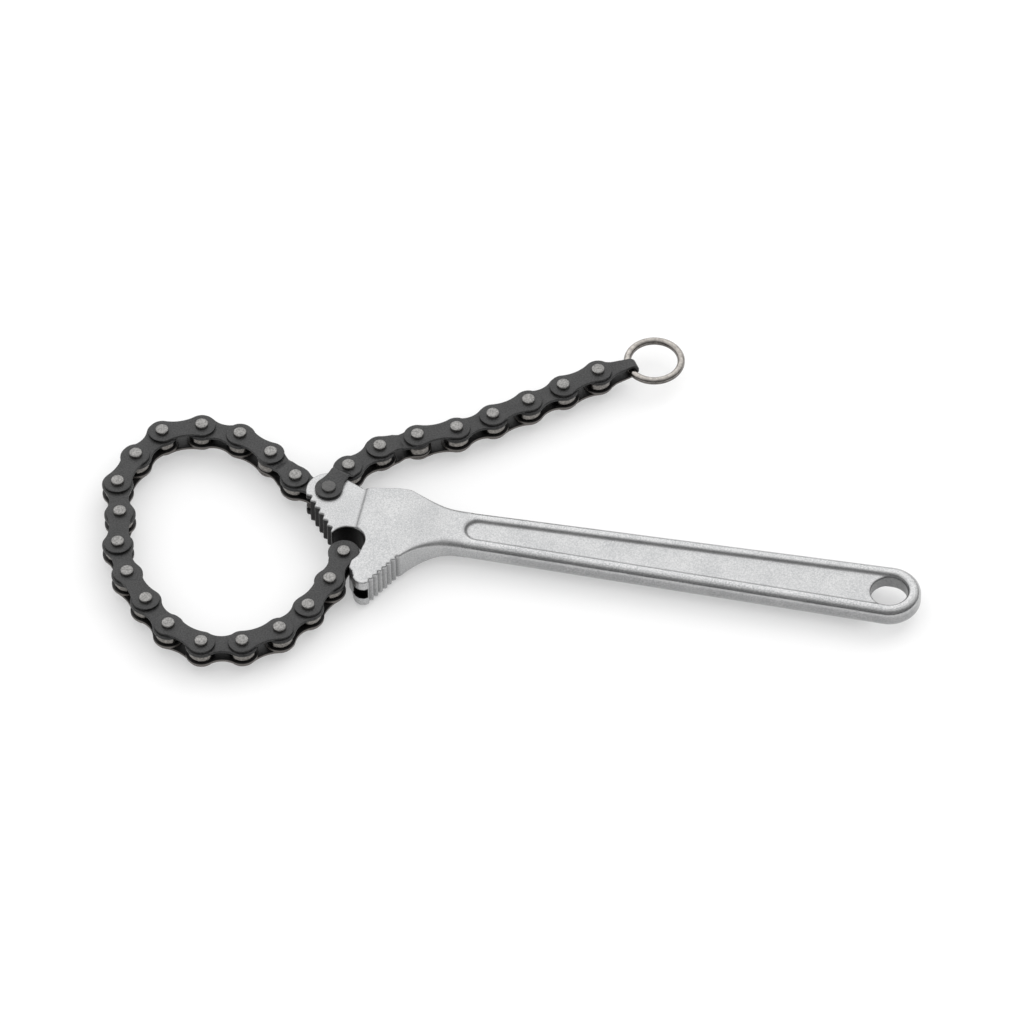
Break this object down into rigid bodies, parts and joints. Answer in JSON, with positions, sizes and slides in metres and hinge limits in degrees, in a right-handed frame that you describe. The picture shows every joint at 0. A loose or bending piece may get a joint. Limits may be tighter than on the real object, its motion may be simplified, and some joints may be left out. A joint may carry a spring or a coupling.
{
  "type": "chain wrench",
  "caption": "Chain wrench with a toothed head on a flat forged handle, a roller chain looped into its throat and a free run of chain ending in a pull ring.",
  "frame": {"origin": "middle of the hang hole, at half the handle's thickness", "axes": "+X from the head to the hang hole along the handle, +Y to the side of the free run of chain, +Z along the chain's pins"},
  "size_m": [0.2606, 0.1597, 0.0136],
  "materials": {
    "plated_forging": "satin, blasted before plating",
    "black_oxide": "black oxide, oiled",
    "bright_roller": "bright, tumbled",
    "ring_wire": "drawn wire"
  },
  "bodies": {
    "handle": {"handle": "plated_forging", "anchor_rivet": "black_oxide"},
    "loop_link_01": {"loop_link_01": "black_oxide"},
    "loop_link_02": {"loop_link_02": "black_oxide"},
    "loop_link_03": {"loop_link_03": "black_oxide"},
    "loop_link_04": {"loop_link_04": "black_oxide"},
    "loop_link_05": {"loop_link_05": "black_oxide"},
    "loop_link_06": {"loop_link_06": "black_oxide"},
    "loop_link_07": {"loop_link_07": "black_oxide"},
    "loop_link_08": {"loop_link_08": "black_oxide"},
    "loop_link_09": {"loop_link_09": "black_oxide"},
    "loop_link_10": {"loop_link_10": "black_oxide"},
    "loop_link_11": {"loop_link_11": "black_oxide"},
    "loop_link_12": {"loop_link_12": "black_oxide"},
    "loop_link_13": {"loop_link_13": "black_oxide"},
    "loop_link_14": {"loop_link_14": "black_oxide"},
    "loop_link_15": {"loop_link_15": "black_oxide"},
    "loop_link_16": {"loop_link_16": "black_oxide"},
    "loop_link_17": {"loop_link_17": "black_oxide"},
    "loop_link_18": {"loop_link_18": "black_oxide"},
    "anchor_link": {"anchor_link": "black_oxide"},
    "tail_link_02": {"tail_link_02": "black_oxide"},
    "tail_link_03": {"tail_link_03": "black_oxide"},
    "tail_link_04": {"tail_link_04": "black_oxide"},
    "tail_link_05": {"tail_link_05": "black_oxide"},
    "tail_link_06": {"tail_link_06": "black_oxide"},
    "tail_link_07": {"tail_link_07": "black_oxide"},
    "tail_link_08": {"tail_link_08": "black_oxide"},
    "end_strap": {"end_strap": "black_oxide"},
    "ring": {"ring": "ring_wire"},
    "loop_roller_01": {"loop_roller_01": "bright_roller"},
    "loop_roller_02": {"loop_roller_02": "bright_roller"},
    "loop_roller_03": {"loop_roller_03": "bright_roller"},
    "loop_roller_04": {"loop_roller_04": "bright_roller"},
    "loop_roller_05": {"loop_roller_05": "bright_roller"},
    "loop_roller_06": {"loop_roller_06": "bright_roller"},
    "loop_roller_07": {"loop_roller_07": "bright_roller"},
    "loop_roller_08": {"loop_roller_08": "bright_roller"},
    "loop_roller_09": {"loop_roller_09": "bright_roller"},
    "loop_roller_10": {"loop_roller_10": "bright_roller"},
    "loop_roller_11": {"loop_roller_11": "bright_roller"},
    "loop_roller_12": {"loop_roller_12": "bright_roller"},
    "loop_roller_13": {"loop_roller_13": "bright_roller"},
    "loop_roller_14": {"loop_roller_14": "bright_roller"},
    "loop_roller_15": {"loop_roller_15": "bright_roller"},
    "loop_roller_16": {"loop_roller_16": "bright_roller"},
    "loop_roller_17": {"loop_roller_17": "bright_roller"},
    "loop_roller_18": {"loop_roller_18": "bright_roller"},
    "loop_roller_19": {"loop_roller_19": "bright_roller"},
    "tail_roller_01": {"tail_roller_01": "bright_roller"},
    "tail_roller_02": {"tail_roller_02": "bright_roller"},
    "tail_roller_03": {"tail_roller_03": "bright_roller"},
    "tail_roller_04": {"tail_roller_04": "bright_roller"},
    "tail_roller_05": {"tail_roller_05": "bright_roller"},
    "tail_roller_06": {"tail_roller_06": "bright_roller"},
    "tail_roller_07": {"tail_roller_07": "bright_roller"},
    "tail_roller_08": {"tail_roller_08": "bright_roller"}
  },
  "joints": [
    {"name": "chain_open", "type": "hinge", "parent": "handle", "child": "loop_link_01", "pos_m": [-0.1795, 0.0062, 0], "axis": [0, 0, -1], "range_deg": [0, 12]},
    {"name": "chain_hinge_02", "type": "hinge", "parent": "loop_link_01", "child": "loop_link_02", "pos_m": [-0.19128, 0.01096, 0], "axis": [0, 0, -1], "range_deg": [-30, 30]},
    {"name": "chain_hinge_03", "type": "hinge", "parent": "loop_link_02", "child": "loop_link_03", "pos_m": [-0.201, 0.01912, 0], "axis": [0, 0, -1], "range_deg": [-30, 30]},
    {"name": "chain_hinge_04", "type": "hinge", "parent": "loop_link_03", "child": "loop_link_04", "pos_m": [-0.21222, 0.02508, 0], "axis": [0, 0, -1], "range_deg": [-30, 30]},
    {"name": "chain_hinge_05", "type": "hinge", "parent": "loop_link_04", "child": "loop_link_05", "pos_m": [-0.22485, 0.02641, 0], "axis": [0, 0, -1], "range_deg": [-30, 30]},
    {"name": "chain_hinge_06", "type": "hinge", "parent": "loop_link_05", "child": "loop_link_06", "pos_m": [-0.23662, 0.02165, 0], "axis": [0, 0, -1], "range_deg": [-30, 30]},
    {"name": "chain_hinge_07", "type": "hinge", "parent": "loop_link_06", "child": "loop_link_07", "pos_m": [-0.24259, 0.01044, 0], "axis": [0, 0, -1], "range_deg": [-30, 30]},
    {"name": "chain_hinge_08", "type": "hinge", "parent": "loop_link_07", "child": "loop_link_08", "pos_m": [-0.24566, -0.00188, 0], "axis": [0, 0, -1], "range_deg": [-30, 30]},
    {"name": "chain_hinge_09", "type": "hinge", "parent": "loop_link_08", "child": "loop_link_09", "pos_m": [-0.24216, -0.01409, 0], "axis": [0, 0, -1], "range_deg": [-30, 30]},
    {"name": "chain_hinge_10", "type": "hinge", "parent": "loop_link_09", "child": "loop_link_10", "pos_m": [-0.23995, -0.0266, 0], "axis": [0, 0, -1], "range_deg": [-30, 30]},
    {"name": "chain_hinge_11", "type": "hinge", "parent": "loop_link_10", "child": "loop_link_11", "pos_m": [-0.23438, -0.03801, 0], "axis": [0, 0, -1], "range_deg": [-30, 30]},
    {"name": "chain_hinge_12", "type": "hinge", "parent": "loop_link_11", "child": "loop_link_12", "pos_m": [-0.22622, -0.04774, 0], "axis": [0, 0, -1], "range_deg": [-30, 30]},
    {"name": "chain_hinge_13", "type": "hinge", "parent": "loop_link_12", "child": "loop_link_13", "pos_m": [-0.21709, -0.05656, 0], "axis": [0, 0, -1], "range_deg": [-30, 30]},
    {"name": "chain_hinge_14", "type": "hinge", "parent": "loop_link_13", "child": "loop_link_14", "pos_m": [-0.20548, -0.06173, 0], "axis": [0, 0, -1], "range_deg": [-30, 30]},
    {"name": "chain_hinge_15", "type": "hinge", "parent": "loop_link_14", "child": "loop_link_15", "pos_m": [-0.19306, -0.05909, 0], "axis": [0, 0, -1], "range_deg": [-30, 30]},
    {"name": "chain_hinge_16", "type": "hinge", "parent": "loop_link_15", "child": "loop_link_16", "pos_m": [-0.18279, -0.05162, 0], "axis": [0, 0, -1], "range_deg": [-30, 30]},
    {"name": "chain_hinge_17", "type": "hinge", "parent": "loop_link_16", "child": "loop_link_17", "pos_m": [-0.17606, -0.04085, 0], "axis": [0, 0, -1], "range_deg": [-30, 30]},
    {"name": "chain_hinge_18", "type": "hinge", "parent": "loop_link_17", "child": "loop_link_18", "pos_m": [-0.17171, -0.02892, 0], "axis": [0, 0, -1], "range_deg": [-30, 30]},
    {"name": "free_hinge_1", "type": "hinge", "parent": "handle", "child": "anchor_link", "pos_m": [-0.1795, 0.0062, 0], "axis": [0, 0, 1], "range_deg": [-8, 12]},
    {"name": "free_hinge_2", "type": "hinge", "parent": "anchor_link", "child": "tail_link_02", "pos_m": [-0.17579, 0.01835, 0], "axis": [0, 0, 1], "range_deg": [-30, 30]},
    {"name": "free_hinge_3", "type": "hinge", "parent": "tail_link_02", "child": "tail_link_03", "pos_m": [-0.16779, 0.02821, 0], "axis": [0, 0, -1], "range_deg": [-30, 30]},
    {"name": "free_hinge_4", "type": "hinge", "parent": "tail_link_03", "child": "tail_link_04", "pos_m": [-0.15714, 0.03513, 0], "axis": [0, 0, 1], "range_deg": [-30, 30]},
    {"name": "free_hinge_5", "type": "hinge", "parent": "tail_link_04", "child": "tail_link_05", "pos_m": [-0.14563, 0.0405, 0], "axis": [0, 0, -1], "range_deg": [-30, 30]},
    {"name": "free_hinge_6", "type": "hinge", "parent": "tail_link_05", "child": "tail_link_06", "pos_m": [-0.13549, 0.04814, 0], "axis": [0, 0, 1], "range_deg": [-30, 30]},
    {"name": "free_hinge_7", "type": "hinge", "parent": "tail_link_06", "child": "tail_link_07", "pos_m": [-0.12562, 0.05613, 0], "axis": [0, 0, -1], "range_deg": [-30, 30]},
    {"name": "free_hinge_8", "type": "hinge", "parent": "tail_link_07", "child": "tail_link_08", "pos_m": [-0.11604, 0.06447, 0], "axis": [0, 0, 1], "range_deg": [-30, 30]},
    {"name": "end_strap_hinge", "type": "hinge", "parent": "tail_link_08", "child": "end_strap", "pos_m": [-0.10645, 0.0728, 0], "axis": [0, 0, -1], "range_deg": [-30, 30]},
    {"name": "end_ring_hinge", "type": "hinge", "parent": "end_strap", "child": "ring", "pos_m": [-0.09739, 0.07868, 0], "axis": [0.5446, -0.8387, 0], "range_deg": [-90, 90]},
    {"name": "roller_spin_loop_01", "type": "hinge", "parent": "loop_link_01", "child": "loop_roller_01", "pos_m": [-0.1795, 0.0062, 0], "axis": [0, 0, 1], "continuous": true},
    {"name": "roller_spin_loop_02", "type": "hinge", "parent": "loop_link_01", "child": "loop_roller_02", "pos_m": [-0.19128, 0.01096, 0], "axis": [0, 0, 1], "continuous": true},
    {"name": "roller_spin_loop_03", "type": "hinge", "parent": "loop_link_02", "child": "loop_roller_03", "pos_m": [-0.201, 0.01912, 0], "axis": [0, 0, 1], "continuous": true},
    {"name": "roller_spin_loop_04", "type": "hinge", "parent": "loop_link_04", "child": "loop_roller_04", "pos_m": [-0.21222, 0.02508, 0], "axis": [0, 0, 1], "continuous": true},
    {"name": "roller_spin_loop_05", "type": "hinge", "parent": "loop_link_04", "child": "loop_roller_05", "pos_m": [-0.22485, 0.02641, 0], "axis": [0, 0, 1], "continuous": true},
    {"name": "roller_spin_loop_06", "type": "hinge", "parent": "loop_link_06", "child": "loop_roller_06", "pos_m": [-0.23662, 0.02165, 0], "axis": [0, 0, 1], "continuous": true},
    {"name": "roller_spin_loop_07", "type": "hinge", "parent": "loop_link_06", "child": "loop_roller_07", "pos_m": [-0.24259, 0.01044, 0], "axis": [0, 0, 1], "continuous": true},
    {"name": "roller_spin_loop_08", "type": "hinge", "parent": "loop_link_08", "child": "loop_roller_08", "pos_m": [-0.24566, -0.00188, 0], "axis": [0, 0, 1], "continuous": true},
    {"name": "roller_spin_loop_09", "type": "hinge", "parent": "loop_link_08", "child": "loop_roller_09", "pos_m": [-0.24216, -0.01409, 0], "axis": [0, 0, 1], "continuous": true},
    {"name": "roller_spin_loop_10", "type": "hinge", "parent": "loop_link_10", "child": "loop_roller_10", "pos_m": [-0.23995, -0.0266, 0], "axis": [0, 0, 1], "continuous": true},
    {"name": "roller_spin_loop_11", "type": "hinge", "parent": "loop_link_10", "child": "loop_roller_11", "pos_m": [-0.23438, -0.03801, 0], "axis": [0, 0, 1], "continuous": true},
    {"name": "roller_spin_loop_12", "type": "hinge", "parent": "loop_link_12", "child": "loop_roller_12", "pos_m": [-0.22622, -0.04774, 0], "axis": [0, 0, 1], "continuous": true},
    {"name": "roller_spin_loop_13", "type": "hinge", "parent": "loop_link_12", "child": "loop_roller_13", "pos_m": [-0.21709, -0.05656, 0], "axis": [0, 0, 1], "continuous": true},
    {"name": "roller_spin_loop_14", "type": "hinge", "parent": "loop_link_14", "child": "loop_roller_14", "pos_m": [-0.20548, -0.06173, 0], "axis": [0, 0, 1], "continuous": true},
    {"name": "roller_spin_loop_15", "type": "hinge", "parent": "loop_link_14", "child": "loop_roller_15", "pos_m": [-0.19306, -0.05909, 0], "axis": [0, 0, 1], "continuous": true},
    {"name": "roller_spin_loop_16", "type": "hinge", "parent": "loop_link_16", "child": "loop_roller_16", "pos_m": [-0.18279, -0.05162, 0], "axis": [0, 0, 1], "continuous": true},
    {"name": "roller_spin_loop_17", "type": "hinge", "parent": "loop_link_16", "child": "loop_roller_17", "pos_m": [-0.17606, -0.04085, 0], "axis": [0, 0, 1], "continuous": true},
    {"name": "roller_spin_loop_18", "type": "hinge", "parent": "loop_link_18", "child": "loop_roller_18", "pos_m": [-0.17171, -0.02892, 0], "axis": [0, 0, 1], "continuous": true},
    {"name": "roller_spin_loop_19", "type": "hinge", "parent": "loop_link_18", "child": "loop_roller_19", "pos_m": [-0.16995, -0.01634, 0], "axis": [0, 0, 1], "continuous": true},
    {"name": "roller_spin_tail_01", "type": "hinge", "parent": "tail_link_02", "child": "tail_roller_01", "pos_m": [-0.17579, 0.01835, 0], "axis": [0, 0, 1], "continuous": true},
    {"name": "roller_spin_tail_02", "type": "hinge", "parent": "tail_link_02", "child": "tail_roller_02", "pos_m": [-0.16779, 0.02821, 0], "axis": [0, 0, 1], "continuous": true},
    {"name": "roller_spin_tail_03", "type": "hinge", "parent": "tail_link_03", "child": "tail_roller_03", "pos_m": [-0.15714, 0.03513, 0], "axis": [0, 0, 1], "continuous": true},
    {"name": "roller_spin_tail_04", "type": "hinge", "parent": "tail_link_05", "child": "tail_roller_04", "pos_m": [-0.14563, 0.0405, 0], "axis": [0, 0, 1], "continuous": true},
    {"name": "roller_spin_tail_05", "type": "hinge", "parent": "tail_link_05", "child": "tail_roller_05", "pos_m": [-0.13549, 0.04814, 0], "axis": [0, 0, 1], "continuous": true},
    {"name": "roller_spin_tail_06", "type": "hinge", "parent": "tail_link_07", "child": "tail_roller_06", "pos_m": [-0.12562, 0.05613, 0], "axis": [0, 0, 1], "continuous": true},
    {"name": "roller_spin_tail_07", "type": "hinge", "parent": "tail_link_07", "child": "tail_roller_07", "pos_m": [-0.11604, 0.06447, 0], "axis": [0, 0, 1], "continuous": true},
    {"name": "roller_spin_tail_08", "type": "hinge", "parent": "end_strap", "child": "tail_roller_08", "pos_m": [-0.10645, 0.0728, 0], "axis": [0, 0, 1], "continuous": true}
  ],
  "couplings": [
    {"joint": "chain_hinge_02", "follows": "chain_open", "ratio": 1},
    {"joint": "chain_hinge_03", "follows": "chain_open", "ratio": 1},
    {"joint": "chain_hinge_04", "follows": "chain_open", "ratio": 1},
    {"joint": "chain_hinge_05", "follows": "chain_open", "ratio": 1},
    {"joint": "chain_hinge_06", "follows": "chain_open", "ratio": 1},
    {"joint": "chain_hinge_07", "follows": "chain_open", "ratio": 1},
    {"joint": "chain_hinge_08", "follows": "chain_open", "ratio": 1},
    {"joint": "chain_hinge_09", "follows": "chain_open", "ratio": 1},
    {"joint": "chain_hinge_10", "follows": "chain_open", "ratio": 0.75},
    {"joint": "chain_hinge_11", "follows": "chain_open", "ratio": 0.75},
    {"joint": "chain_hinge_12", "follows": "chain_open", "ratio": 0.75},
    {"joint": "chain_hinge_13", "follows": "chain_open", "ratio": -0.25},
    {"joint": "chain_hinge_14", "follows": "chain_open", "ratio": -0.25},
    {"joint": "chain_hinge_15", "follows": "chain_open", "ratio": -0.25},
    {"joint": "chain_hinge_16", "follows": "chain_open", "ratio": -0.25},
    {"joint": "chain_hinge_17", "follows": "chain_open", "ratio": -0.25},
    {"joint": "chain_hinge_18", "follows": "chain_open", "ratio": -0.25}
  ]
}
